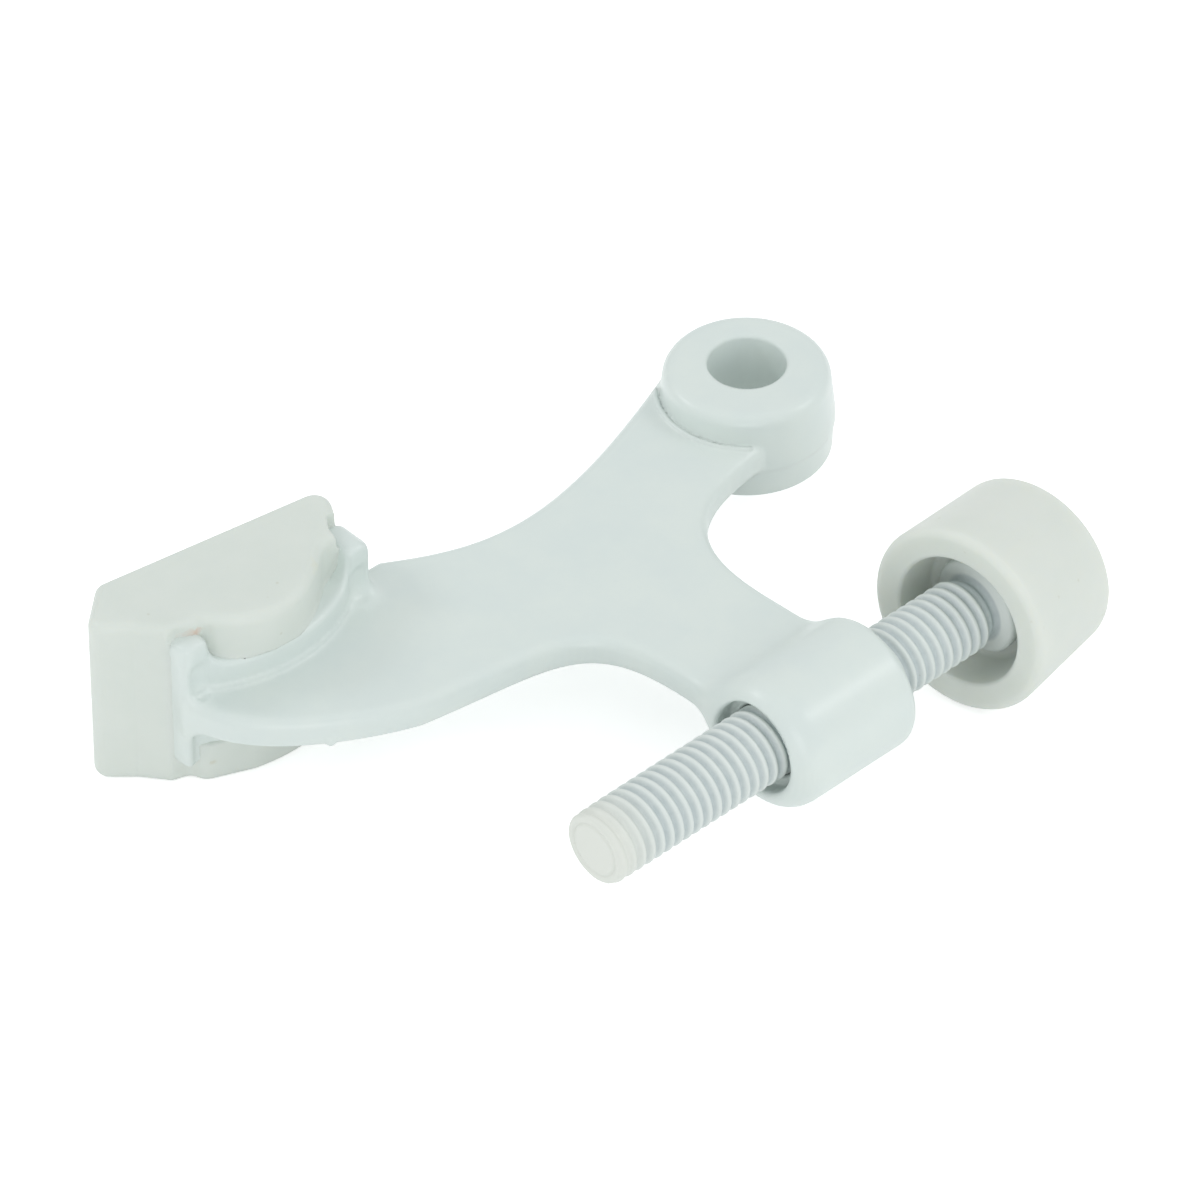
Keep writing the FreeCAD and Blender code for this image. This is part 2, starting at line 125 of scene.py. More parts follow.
# Web
WEB_THICKNESS = 3.6
WEB_EDGE_R = 1.2
WEB_BACK_ANGLE_DEG = 112.0
WEB_FRONT_ANGLE_DEG = 238.0
WEB_BACK_PULL = (-24.0, -9.7)
WEB_FRONT_PULL = (-19.1, -0.8)
WEB_EAR_REACH = 4.8
WEB_EAR_PULL = (10.4, -6.5)
ARM_END_OUTSET = 0.9
ARM_END_PULL = (0.6, -9.1)
ELBOW_REACH = 21.1
ELBOW_HEIGHT = 25.5
ELBOW_FALL_DEG = 10.7
ELBOW_ARM_PULL = 1.5
ELBOW_LEG_PULL = 16.85
LEG_INSET_TIP = 1.2
LEG_INSET_CAP = -0.15
LEG_LEFT_HEIGHT = 7.6
LEG_RIGHT_HEIGHT = 8.7
LEG_LEFT_PULL = 17.1
LEG_RIGHT_PULL = 6.8
LEG_FOOT = 4.2

# Collar round the screw
COLLAR_R = 7.2
COLLAR_DROP = 0.5
COLLAR_LENGTH = 16.1
COLLAR_TIP_END_X = -36.3
COLLAR_TIP_END_R = 3.0
COLLAR_CAP_END_R = 1.2
COLLAR_RECESS_R = 4.95
COLLAR_RECESS_DEPTH = 1.8
COLLAR_SOFT = 3.4

# Flange behind the pad, with an ear at each end
FLANGE_X = -61.4
FLANGE_Y = 4.2
FLANGE_SPAN = 22.6
FLANGE_BULGE = 4.3
FLANGE_BACK = 1.8
FLANGE_HEIGHT = 10.4
FLANGE_EDGE_R = 0.6
EAR_OUTSET = 1.3
EAR_INSET = 2.0
EAR_FRONT = 1.6
EAR_OUTER_R = 1.3
EAR_INNER_R = 0.3
EAR_HEIGHT = BRACKET_HIGH[2] - BRACKET_LOW[2]
EAR_LEFT_ROUND = 1.3
EAR_RIGHT_ROUND = 1.9
EAR_TOP_INNER_R = 0.8
EAR_LOW_INNER_R = 1.0
EAR_LOW_END = 7.2
EAR_FOOT_R = 1.9
EAR_FOOT_RUN = 0.6
EAR_RIGHT_BACK = 1.1
EAR_SOFT = 2.4
EAR_SOFT_FROM = 7.6
EAR_SOFT_RUN = 2.6
WEB_SOFT = 0.8
SPOON_R = 1.15
SPOON_INSET = 1.95
SPOON_FRONT = 0.62
SPOON_TOP = 5.0
SPOON_LOW = -6.6

# Fine lines on the casting
SEAM_R = 0.24
EYE_SEAM_R = 9.35
EYE_SEAM_RISE = 0.12
EYE_GROOVE_R = 8.93
GROOVE_R = 0.12
WALL_SEAM_Z = 2.25
WALL_SEAM_OUTSET = 0.02
WALL_SEAM_REACH = 9.0
NUB = (-64.9, -8.65, -1.0)
NUB_R = 0.45

# Cap, placed along its own axis from the point that it tilts about
CAP_PIVOT_X = -3.9
CAP_FRONT = 5.1
CAP_BACK = 8.09
CAP_MOUTH_R = 10.3
CAP_END_R = 9.47
CAP_MOUTH_EDGE_R = 0.9
CAP_END_EDGE_R = 0.5
CAP_DISH = 0.12
CAP_HOLE_R = 7.12
CAP_HOLE_FLOOR_R = 6.4
CAP_HOLE_LIP_R = 0.45
CAP_FLOOR = 0.3
CAP_POCKET = 0.8
CAP_POCKET_LENGTH = 4.2
CAP_POCKET_R = 4.7
CAP_STUD_HOLE_R = 2.9
CAP_SKEW_DEG = 9.7
CAP_DROOP_DEG = 4.9
CAP_RISE = 0.16

# Pad
PAD_LEFT_END_X = -10.4
PAD_RIGHT_END_X = 10.9
PAD_SHOULDER = (-18.1, 6.6)
PAD_FACE_LEFT = (-12.9, 11.0)
PAD_FACE_RIGHT = (13.7, 6.6)
PAD_CREEP = (-12.6, 0.75)
PAD_CREEP_FOOT = (-14.7, 3.5)
PAD_EDGE_R = 1.1
PAD_TOP_LOBE_TOP = (-1.6, -4.3)
PAD_TOP_LOBE_LEFT = (-9.3, 1.8)
PAD_TOP_LOBE_RIGHT = (9.4, 2.2)
PAD_LOW_LOBE_R = 20.0
PAD_LOW_LOBE_HALF = 10.6
PAD_LOW_SHOULDER_R = 2.0
PAD_CREEP_DEPTH = 0.2
PAD_CREEP_SOFT = 0.8
PAD_LOBE_SOFT = 0.8
LEFT_WINDOW = ((-14.0, 0.8), (-11.3, 0.9), (-9.3, -0.4), (-8.8, -3.0))
RIGHT_WINDOW = ((9.2, 1.2), (10.4, 3.0))
WINDOW_RIGHT_X = 15.0
WINDOW_FRONT_Y = -3.0
WINDOW_LOW_Z = 6.8

FLOOR_Z = min(CAP_LOW[2], PAD_LOW[2])


# Fields: signed distances in millimetres, negative inside


def segments_of(points):
    points = np.asarray(points, float)
    return zip(points, np.roll(points, -1, axis=0))


def outline_distance(u, v, points):
    """Signed distance to a closed outline in a plane."""
    nearest = np.full(u.shape, np.inf)
    inside = np.zeros(u.shape, bool)
    for (u0, v0), (u1, v1) in segments_of(points):
        du = u1 - u0
        dv = v1 - v0
        share = np.clip(((u - u0) * du + (v - v0) * dv) / (du * du + dv * dv), 0, 1)
        nearest = np.minimum(nearest, (u - u0 - share * du) ** 2 + (v - v0 - share * dv) ** 2)
        if dv:
            inside ^= ((v0 > v) != (v1 > v)) & (u < u0 + du * (v - v0) / dv)
    return np.where(inside, -1, 1) * np.sqrt(nearest)


class Outline:
    """Signed distance to a closed outline, worked out once on a fine square table and read from it."""

    def __init__(self, points, step=0.12, margin=3.0):
        points = np.asarray(points, float)
        self.low = points.min(axis=0) - margin
        self.step = step
        counts = np.ceil((points.max(axis=0) + margin - self.low) / step).astype(int) + 1
        u = self.low[0] + step * np.arange(counts[0])
        v = self.low[1] + step * np.arange(counts[1])
        self.table = outline_distance(*np.meshgrid(u, v, indexing="ij"), points)

    def __call__(self, u, v):
        a = np.clip((u - self.low[0]) / self.step, 0, self.table.shape[0] - 1.001)
        b = np.clip((v - self.low[1]) / self.step, 0, self.table.shape[1] - 1.001)
        i = a.astype(int)
        j = b.astype(int)
        a = a - i
        b = b - j
        t = self.table
        near = t[i, j] * (1 - b) + t[i, j + 1] * b
        far = t[i + 1, j] * (1 - b) + t[i + 1, j + 1] * b
        return near * (1 - a) + far * a


def join(a, b, soft):
    """Union of two fields with a soft inside corner."""
    near = np.maximum(soft - np.abs(a - b), 0) / soft
    return np.minimum(a, b) - near * near * soft / 4


def carve(a, b, soft):
    """Field a with field b cut out of it and a softened edge."""
    return -join(-a, b, soft)


def keep(a, b, soft):
    """What two fields share."""
    return -join(-a, -b, soft)


def slab(flat, height, edge):
    """Plate from the distance to its outline and to its faces, with rounded rims."""
    a = flat + edge
    b = height + edge
    return np.minimum(np.maximum(a, b), 0) + np.hypot(np.maximum(a, 0), np.maximum(b, 0)) - edge


# Outlines


def bow(a, handle_a, handle_b, b, count=28):
    """Smooth curve from a to b, without its last point, that leaves and arrives along its handles."""
    t = np.linspace(0, 1, count, endpoint=False)[:, None]
    a, handle_a, handle_b, b = (np.array(p, float) for p in (a, handle_a, handle_b, b))
    return (1 - t) ** 3 * a + 3 * (1 - t) ** 2 * t * handle_a + 3 * (1 - t) * t * t * handle_b + t ** 3 * b


def bend_through(a, middle, b, count=24):
    """Arc of a circle from a to b through a middle point, without its last point."""
    (ax, ay), (mx, my), (bx, by) = a, middle, b
    d = 2 * (ax * (my - by) + mx * (by - ay) + bx * (ay - my))
    aa = ax * ax + ay * ay
    mm = mx * mx + my * my
    bb = bx * bx + by * by
    cx = (aa * (my - by) + mm * (by - ay) + bb * (ay - my)) / d
    cy = (aa * (bx - mx) + mm * (ax - bx) + bb * (mx - ax)) / d
    start = math.atan2(ay - cy, ax - cx)
    turn = (math.atan2(by - cy, bx - cx) - start) % math.tau
    if (math.atan2(my - cy, mx - cx) - start) % math.tau > turn:
        turn -= math.tau
    angles = start + turn * np.linspace(0, 1, count, endpoint=False)
    radius = math.hypot(ax - cx, ay - cy)
    return np.stack([cx + radius * np.cos(angles), cy + radius * np.sin(angles)], axis=1)


def rounded(corners, count=8):
    """Closed outline from (u, v, radius) corners, each rounded by its radius."""
    made = []
    total = len(corners)
    for n, (u, v, radius) in enumerate(corners):
        here = np.array([u, v], float)
        before = np.array(corners[n - 1][:2], float) - here
        after = np.array(corners[(n + 1) % total][:2], float) - here
        if radius == 0:
            made.append(here[None])
            continue
        before /= np.linalg.norm(before)
        after /= np.linalg.norm(after)
        half = math.acos(np.clip(before @ after, -1, 1)) / 2
        reach = radius / math.tan(half)
        middle = before + after
        middle /= np.linalg.norm(middle)
        centre = here + middle * radius / math.sin(half)
        start = here + before * reach - centre
        end = here + after * reach - centre
        first = math.atan2(start[1], start[0])
        turn = (math.atan2(end[1], end[0]) - first + math.pi) % math.tau - math.pi
        angles = first + turn * np.linspace(0, 1, count)
        made.append(centre + radius * np.stack([np.cos(angles), np.sin(angles)], axis=1))
    return np.concatenate(made)


def on_eye(angle_deg, radius=EYE_R):
    angle = math.radians(angle_deg)
    return np.array([EYE_X + radius * math.cos(angle), EYE_Y + radius * math.sin(angle)])


def web_outline():
    """Plan of the web; its straight ends lie inside the eye, the collar and the flange."""
    front = on_eye(WEB_FRONT_ANGLE_DEG)
    back = on_eye(WEB_BACK_ANGLE_DEG)
    middle_front = on_eye(WEB_FRONT_ANGLE_DEG, EYE_R / 2)
    middle_back = on_eye(WEB_BACK_ANGLE_DEG, EYE_R / 2)
    flange_back = FLANGE_Y + FLANGE_BACK
    rim_end = np.array([FLANGE_X + FLANGE_SPAN / 2 + WEB_EAR_REACH, flange_back])
    flange_right = np.array([FLANGE_X + FLANGE_SPAN / 2, flange_back])
    flange_left = np.array([FLANGE_X - FLANGE_SPAN / 2 - ARM_END_OUTSET, FLANGE_Y - EAR_FRONT])
    leg_left = COLLAR_TIP_END_X + LEG_INSET_TIP
    leg_right = COLLAR_TIP_END_X + COLLAR_LENGTH - LEG_INSET_CAP
    elbow = np.array([leg_left - ELBOW_REACH, -ROD_OFFSET + ELBOW_HEIGHT])
    fall = math.radians(ELBOW_FALL_DEG)
    past_elbow = np.array([math.cos(fall), -math.sin(fall)])
    leg_left_top = np.array([leg_left, -ROD_OFFSET + LEG_LEFT_HEIGHT])
    leg_right_top = np.array([leg_right, -ROD_OFFSET + LEG_RIGHT_HEIGHT])
    foot = -ROD_OFFSET + LEG_FOOT
    return np.concatenate([
        bow(back, back + WEB_BACK_PULL, rim_end + WEB_EAR_PULL, rim_end),
        [rim_end, flange_right],
        bow(flange_left, flange_left + ARM_END_PULL, elbow - past_elbow * ELBOW_ARM_PULL, elbow),
        bow(elbow, elbow + past_elbow * ELBOW_LEG_PULL, leg_left_top + (0, LEG_LEFT_PULL), leg_left_top),
        [leg_left_top, (leg_left, foot), (leg_right, foot)],
        bow(leg_right_top, leg_right_top + (0, LEG_RIGHT_PULL), front + WEB_FRONT_PULL, front),
        [front, middle_front, middle_back],
    ])


def wall_outline():
    """Plan of the flange between its ears: a half moon."""
    left = FLANGE_X - FLANGE_SPAN / 2
    right = FLANGE_X + FLANGE_SPAN / 2
    bulge = bend_through((left, FLANGE_Y), (FLANGE_X, FLANGE_Y - FLANGE_BULGE), (right, FLANGE_Y))
    back = FLANGE_Y + FLANGE_BACK
    return np.concatenate([bulge, [(right, FLANGE_Y), (right, back), (left, back)]])


def ear_outline(side):
    """Plan of an ear; side is -1 at the left and 1 at the right, where it reaches a little into the pad."""
    end = FLANGE_X + side * FLANGE_SPAN / 2
    outer = end + side * EAR_OUTSET
    inner = end - side * EAR_INSET
    front = FLANGE_Y - EAR_FRONT
    back = FLANGE_Y + FLANGE_BACK + (EAR_RIGHT_BACK if side > 0 else 0)
    return rounded([
        (outer, back, 0), (outer, front, EAR_OUTER_R), (inner, front, EAR_INNER_R), (inner, back, 0),
    ])


def front_outline():
    """The flange and its ears from the front, as (distance from the flange's middle, height)."""
    outer = FLANGE_SPAN / 2 + EAR_OUTSET
    inner = FLANGE_SPAN / 2 - EAR_INSET
    foot = inner - EAR_FOOT_RUN
    top = EAR_HEIGHT / 2
    low = -EAR_LOW_END
    wall = FLANGE_HEIGHT / 2
    return rounded([
        (-outer, low, EAR_LEFT_ROUND), (-inner, low, EAR_LOW_INNER_R), (-foot, -wall, EAR_FOOT_R),
        (foot, -wall, EAR_FOOT_R), (inner, low, EAR_LOW_INNER_R), (outer, low, EAR_RIGHT_ROUND),
        (outer, top, EAR_RIGHT_ROUND), (inner, top, EAR_TOP_INNER_R), (foot, wall, EAR_FOOT_R),
        (-foot, wall, EAR_FOOT_R), (-inner, top, EAR_TOP_INNER_R), (-outer, top, EAR_LEFT_ROUND),
    ])


def eye_outline():
    """Half section of the eye, as (distance from its axis, height), with a faint step at its parting line."""
    half = EYE_HEIGHT / 2
    share = (EYE_WAIST_Z - PARTING_Z) / (EYE_WAIST_Z + half)
    at_parting = EYE_R + share * (EYE_BOTTOM_R - EYE_R)
    return rounded([
        (-EYE_R, half, 0), (EYE_TOP_R, half, EYE_TOP_EDGE_R), (EYE_R, EYE_WAIST_Z, 5.0),
        (at_parting + 0.02, PARTING_Z, 0.1), (at_parting - PARTING_STEP, PARTING_Z - 0.12, 0.1),
        (EYE_BOTTOM_R - PARTING_STEP, -half, EYE_BOTTOM_EDGE_R), (-EYE_R, -half, 0),
    ])


def collar_outline():
    """Half section of the collar, as (place along the screw, distance from its axis)."""
    front = COLLAR_TIP_END_X
    back = front + COLLAR_LENGTH
    return rounded([
        (front, -COLLAR_R, 0), (front, COLLAR_R, COLLAR_TIP_END_R), (back, COLLAR_R, COLLAR_CAP_END_R),
        (back, -COLLAR_R, 0),
    ])


def screw_bore_outline():
    """Half section of the collar's bore, wider at both mouths."""
    front = COLLAR_TIP_END_X
    back = front + COLLAR_LENGTH
    deep = COLLAR_RECESS_DEPTH
    beyond = 4.0
    return rounded([
        (front - beyond, -1, 0), (front - beyond, COLLAR_RECESS_R, 0), (front + deep, COLLAR_RECESS_R, 0.25),
        (front + deep, ROD_BORE_R, 0.1), (back - deep, ROD_BORE_R, 0.1), (back - deep, COLLAR_RECESS_R, 0.25),
        (back + beyond, COLLAR_RECESS_R, 0), (back + beyond, -1, 0),
    ])


# Meshes


OFFSETS = [(i, j, k) for i in (0, 1) for j in (0, 1) for k in (0, 1)]
EDGES = [
    (a, b) for a in OFFSETS for b in OFFSETS
    if sum(b) - sum(a) == 1 and all(y >= x for x, y in zip(a, b))
]


def tabled(field, axes, layers=24):
    """Field on a grid, worked out a few layers at a time to save memory."""
    parts = []
    for start in range(0, len(axes[0]), layers):
        x, y, z = np.meshgrid(axes[0][start:start + layers], axes[1], axes[2], indexing="ij")
        parts.append(field(x, y, z).astype(np.float32))
    return np.concatenate(parts)


def slope(field, p, reach=0.02):
    """Gradient of a field at points."""
    rise = []
    for axis in np.eye(3) * reach:
        rise.append((field(*(p + axis).T) - field(*(p - axis).T)) / (2 * reach))
    return np.stack(rise, axis=1)


def skin_of(field, low, high, cell):
    """Vertices and quads of the surface where a field is zero, with a vertex in each cell that it crosses."""
    axes = [np.arange(a - 2 * cell, b + 2.5 * cell, cell) for a, b in zip(low, high)]
    value = tabled(field, axes)
    inside = value < 0
    shape = np.array(value.shape) - 1
    corner_count = np.zeros(shape, np.uint8)
    for i, j, k in OFFSETS:
        corner_count += inside[i:i + shape[0], j:j + shape[1], k:k + shape[2]]
    cells = np.argwhere((corner_count > 0) & (corner_count < 8))
    total = np.zeros((len(cells), 3))
    hits = np.zeros(len(cells))
    for a, b in EDGES:
        at_a = value[tuple((cells + a).T)]
        at_b = value[tuple((cells + b).T)]
        crossed = (at_a < 0) != (at_b < 0)
        share = np.where(crossed, at_a / np.where(crossed, at_a - at_b, 1), 0)
        total += crossed[:, None] * (np.array(a) + share[:, None] * (np.array(b) - a))
        hits += crossed
    points = (cells + total / hits[:, None]) * cell + [axis[0] for axis in axes]
    for _ in range(3):
        g = slope(field, points)
        steps = field(*points.T)[:, None] * g / np.maximum((g * g).sum(axis=1), 0.05)[:, None]
        points -= np.clip(steps, -0.4 * cell, 0.4 * cell)
    number = np.full(shape, -1)
    number[tuple(cells.T)] = np.arange(len(cells))
    quads = []
    for axis in range(3):
        one, two = (axis + 1) % 3, (axis + 2) % 3
        ahead = np.roll(inside, -1, axis=axis)
        crossing = np.argwhere(inside != ahead)
        keep_row = (crossing[:, axis] < shape[axis]) & (crossing[:, one] > 0) & (crossing[:, two] > 0)
        crossing = crossing[keep_row]
        ring = []
        for back_one, back_two in ((0, 0), (1, 0), (1, 1), (0, 1)):
            around = crossing.copy()
            around[:, one] -= back_one
            around[:, two] -= back_two
            ring.append(number[tuple(around.T)])
        quad = np.stack(ring, axis=1)
        outward = inside[tuple(crossing.T)]
        quads.append(np.where(outward[:, None], quad, quad[:, ::-1]))
    return points, np.concatenate(quads)


def mesh_piece(name, points, faces, material):
    """Smooth object from points in millimetres and faces with equal numbers of corners."""
    mesh = bpy.data.meshes.new(name)
    faces = np.asarray(faces)
    count, corners = faces.shape
    mesh.vertices.add(len(points))
    mesh.vertices.foreach_set("co", (np.asarray(points) * MM).astype(np.float32).ravel())
    mesh.loops.add(count * corners)
    mesh.loops.foreach_set("vertex_index", faces.astype(np.int32).ravel())
    mesh.polygons.add(count)
    mesh.polygons.foreach_set("loop_start", np.arange(0, count * corners, corners, dtype=np.int32))
    mesh.polygons.foreach_set("use_smooth", np.ones(count, bool))
    mesh.update(calc_edges=True)
    mesh.validate()
    piece = bpy.data.objects.new(name, mesh)
    bpy.context.scene.collection.objects.link(piece)
    mesh.materials.append(material)
    return piece


def merged(piece, gap=0.00002):
    """The piece with its points that lie together made one."""
    work = bmesh.new()
    work.from_mesh(piece.data)
    bmesh.ops.remove_doubles(work, verts=work.verts, dist=gap)
    bmesh.ops.dissolve_degenerate(work, edges=work.edges, dist=gap / 2)
    bmesh.ops.recalc_face_normals(work, faces=work.faces)
    for face in work.faces:
        face.smooth = True
    work.to_mesh(piece.data)
    work.free()
    return piece


def grid_faces(rows, columns):
    """Quads of a grid of points whose columns close into a ring."""
    r, c = np.meshgrid(np.arange(rows - 1), np.arange(columns), indexing="ij")
    after = (c + 1) % columns
    here = r * columns
    above = here + columns
    return np.stack([here + c, here + after, above + after, above + c], axis=-1).reshape(-1, 4)


# Bracket


EYE = Outline(eye_outline(), step=0.05)
COLLAR = Outline(collar_outline(), step=0.08)
SCREW_BORE = Outline(screw_bore_outline(), step=0.06)
WEB = Outline(web_outline())
WALL = Outline(wall_outline(), step=0.1)
EARS = [Outline(ear_outline(side), step=0.06) for side in (-1, 1)]
FRONT = Outline(front_outline(), step=0.08)


def plan_of_flange(x, y):
    """Distance to the plan of the flange with its ears."""
    return np.minimum(WALL(x, y), np.minimum(EARS[0](x, y), EARS[1](x, y)))


def spoon(x, y, z, side):
    """Shallow upright hollow in the front of an ear."""
    middle_x = FLANGE_X + side * (FLANGE_SPAN / 2 + EAR_OUTSET - SPOON_INSET)
    middle_y = FLANGE_Y - EAR_FRONT - SPOON_FRONT
    beyond = np.maximum(np.maximum(z - SPOON_TOP, SPOON_LOW - z), 0)
    return np.hypot(np.hypot(x - middle_x, y - middle_y), beyond) - SPOON_R


def flange_field(x, y, z):
    body = slab(plan_of_flange(x, y), FRONT(x - FLANGE_X, z), FLANGE_EDGE_R)
    for side in (-1, 1):
        body = carve(body, spoon(x, y, z, side), 0.7)
    return body


def bracket_field(x, y, z):
    half = WEB_THICKNESS / 2
    from_eye = np.hypot(x - EYE_X, y - EYE_Y)
    from_screw = np.abs(y + ROD_OFFSET)
    web_plan = WEB(x, y)
    web = slab(web_plan, np.abs(z) - half, WEB_EDGE_R)
    web = join(web, COLLAR(x, np.hypot(from_screw, z + COLLAR_DROP)), COLLAR_SOFT)
    plan = plan_of_flange(x, y)
    near_ear = np.clip((np.abs(x - FLANGE_X) - EAR_SOFT_FROM) / EAR_SOFT_RUN, 0, 1)
    web = join(web, flange_field(x, y, z), WEB_SOFT + (EAR_SOFT - WEB_SOFT) * near_ear ** 2)
    near_web = keep(web_plan - 0.6, y - FLANGE_Y, 0.1)
    for side in (-1, 1):
        wall_seam = np.hypot(plan - WALL_SEAM_OUTSET, z - side * WALL_SEAM_Z) - SEAM_R
        wall_seam = keep(wall_seam, x - FLANGE_X - WALL_SEAM_REACH, 0.6)
        web = join(web, keep(wall_seam, near_web, 0.1), 0.15)
        eye_seam = np.hypot(from_eye - EYE_SEAM_R, z - side * (half + EYE_SEAM_RISE)) - SEAM_R
        web = join(web, keep(eye_seam, web_plan + WEB_EDGE_R / 2, 0.3), 0.1)
        web = carve(web, np.hypot(from_eye - EYE_GROOVE_R, z - side * (half + 0.1)) - GROOVE_R, 0.1)
    nub = np.hypot(np.hypot(x - NUB[0], y - NUB[1]), z - NUB[2]) - NUB_R
    web = join(web, nub, 0.5)
    body = join(EYE(from_eye, z), web, 0.3)
    body = carve(body, np.hypot(x, y) - PIN_BORE_R, EYE_LIP_SOFT)
    return carve(body, SCREW_BORE(x, np.hypot(from_screw, z)), 0.6)


# Pad


def pad_outline():
    return rounded([
        (FLANGE_X + PAD_LEFT_END_X, FLANGE_Y, 0),
        (FLANGE_X + PAD_CREEP[0], FLANGE_Y + PAD_CREEP[1], 0),
        (FLANGE_X + PAD_CREEP_FOOT[0], FLANGE_Y + PAD_CREEP_FOOT[1], 2.0),
        (FLANGE_X + PAD_SHOULDER[0], FLANGE_Y + PAD_SHOULDER[1], 1.6),
        (FLANGE_X + PAD_FACE_LEFT[0], FLANGE_Y + PAD_FACE_LEFT[1], 1.5),
        (FLANGE_X + PAD_FACE_RIGHT[0], FLANGE_Y + PAD_FACE_RIGHT[1], 1.8),
        (FLANGE_X + PAD_RIGHT_END_X, FLANGE_Y + FLANGE_BACK, 0.6),
        (FLANGE_X + PAD_RIGHT_END_X, FLANGE_Y, 0),
    ])


def top_lobe_outline():
    """Plan of the lobe that laps over the flange: rounder at its left than at its right."""
    left = np.array([FLANGE_X + PAD_TOP_LOBE_LEFT[0], FLANGE_Y + PAD_TOP_LOBE_LEFT[1]])
    tip = np.array([FLANGE_X + PAD_TOP_LOBE_TOP[0], FLANGE_Y + PAD_TOP_LOBE_TOP[1]])
    right = np.array([FLANGE_X + PAD_TOP_LOBE_RIGHT[0], FLANGE_Y + PAD_TOP_LOBE_RIGHT[1]])
    return np.concatenate([
        bow(left, left + (0.5, -3.2), tip - (3.4, 0), tip),
        bow(tip, tip + (3.2, 0), right - (4.4, 4.6), right),
        [right, right + (0, 2), left + (0, 2)],
    ])


def left_window_outline():
    """Plan of the gap in the pad over the left ear, whose back runs aslant."""
    outer, back, shoulder, front = [(FLANGE_X + x, FLANGE_Y + y) for x, y in LEFT_WINDOW]
    return rounded([
        (outer[0], FLANGE_Y + WINDOW_FRONT_Y, 0), (*outer, 0), (*back, 0.8), (*shoulder, 0.8), (*front, 0),
    ])


def right_window_outline():
    """Plan of the gap in the pad over the right ear."""
    inner, back = [(FLANGE_X + x, FLANGE_Y + y) for x, y in RIGHT_WINDOW]
    right = FLANGE_X + WINDOW_RIGHT_X
    front = FLANGE_Y + WINDOW_FRONT_Y
    return rounded([
        (inner[0], front, 0), (*inner, 0.6), (*back, 0.6), (right, back[1], 0), (right, front, 0),
    ])


def low_lobe_outline():
    """Plan of the half moon under the flange."""
    front = FLANGE_Y - FLANGE_BULGE
    back = FLANGE_Y + FLANGE_BACK
    reach = PAD_LOW_LOBE_HALF
    radius = PAD_LOW_LOBE_R
    half_turn = math.asin(reach / radius)
    turns = np.linspace(-half_turn, half_turn, 24)
    bulge = [(FLANGE_X + radius * math.sin(t), front + radius * (1 - math.cos(t)), 0) for t in turns]
    left, right = bulge[0], bulge[-1]
    return rounded([
        (left[0], back, 0), (left[0], left[1], PAD_LOW_SHOULDER_R), *bulge[6:-6],
        (right[0], right[1], PAD_LOW_SHOULDER_R), (right[0], back, 0),
    ])


PAD = Outline(pad_outline(), step=0.08)
LOW_LOBE = Outline(low_lobe_outline(), step=0.08)
TOP_LOBE = Outline(top_lobe_outline(), step=0.08)
WINDOWS = [Outline(left_window_outline(), step=0.08), Outline(right_window_outline(), step=0.08)]


def pad_field(x, y, z):
    height = np.abs(z) - PAD_HIGH[2]
    flange_top = FLANGE_HEIGHT / 2 - 0.05
    back = y - FLANGE_Y - FLANGE_BACK
    wedge = PAD(x, y)
    top = slab(join(wedge, np.maximum(TOP_LOBE(x, y), back), PAD_LOBE_SOFT), height, PAD_EDGE_R)
    low = slab(join(wedge, np.maximum(LOW_LOBE(x, y), back), PAD_LOBE_SOFT), height, PAD_EDGE_R)
    body = slab(wedge, height, PAD_EDGE_R)
    body = np.minimum(body, np.maximum(top, flange_top - z))
    body = np.minimum(body, np.maximum(low, flange_top + z))
    for window in WINDOWS:
        body = carve(body, np.maximum(window(x, y), WINDOW_LOW_Z - z), 0.3)
    flange = flange_field(x, y, z) + PAD_CREEP_DEPTH
    return carve(join(body, flange, PAD_CREEP_SOFT), flange, 0.1)


# Screw


def thread_radius(place, envelope):
    """Radius of the thread, from its place in turns along the helix: a crest softened by paint."""
    share = np.abs((place % 1.0) * 2 - 1)
    flank = np.clip((share - 0.16) / 0.66, 0, 1)
    soft = flank * flank * (3 - 2 * flank)
    return envelope - THREAD_DEPTH * (1 - 0.6 * soft - 0.4 * flank)


